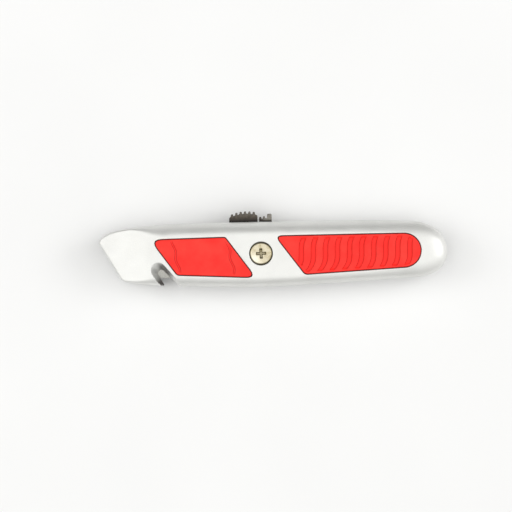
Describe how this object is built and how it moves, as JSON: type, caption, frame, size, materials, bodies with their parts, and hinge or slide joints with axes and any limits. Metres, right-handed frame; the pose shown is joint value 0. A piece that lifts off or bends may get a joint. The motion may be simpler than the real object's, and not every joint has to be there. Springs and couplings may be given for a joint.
{
  "type": "utility knife",
  "caption": "Retractable utility knife with a two-half cast housing, soft side inlays, a sliding blade carrier with a sprung thumb button, a string-cutting notch and blade storage.",
  "frame": {"origin": "on the housing screw's axis, at the right half's flat outer face, which the knife rests on", "axes": "+X towards the tail, +Y towards the thumb button, +Z through the thickness from the right half to the left half"},
  "size_m": [0.1602, 0.0349, 0.02],
  "materials": {
    "housing": "satin",
    "inlay": "matte",
    "screw": "polished",
    "insert": "satin",
    "slider": "satin",
    "blade": "satin",
    "spring_steel": "satin"
  },
  "bodies": {
    "handle": {"right_shell": "housing", "right_front_inlay": "inlay", "right_rear_inlay": "inlay", "threaded_insert": "insert", "spare_blade_1": "blade", "spare_blade_2": "blade", "spare_blade_3": "blade", "spare_blade_4": "blade", "spare_blade_5": "blade", "spare_blade_clip": "spring_steel", "clip_rivet": "spring_steel"},
    "cover": {"left_shell": "housing", "left_front_inlay": "inlay", "left_rear_inlay": "inlay"},
    "screw": {"housing_screw": "screw"},
    "carrier": {"blade_carrier": "slider", "blade": "blade", "button_pin": "spring_steel", "button_spring": "spring_steel"},
    "button": {"thumb_button": "slider"}
  },
  "joints": [
    {"name": "blade_slide", "type": "slide", "parent": "handle", "child": "carrier", "axis": [-1, 0, 0], "range_m": [0, 0.021]},
    {"name": "button_press", "type": "slide", "parent": "carrier", "child": "button", "axis": [0, -1, 0], "range_m": [0, 0.0012], "stiffness_N_per_m": 1500, "springref_m": -0.0005, "deforming": ["button_spring"]},
    {"name": "cover_lift", "type": "slide", "parent": "handle", "child": "cover", "axis": [0, 0, 1], "range_m": [0, 0.03]},
    {"name": "screw_turn", "type": "hinge", "parent": "cover", "child": "screw", "pos_m": [0, 0, 0.01], "axis": [0, 0, 1], "continuous": true}
  ]
}
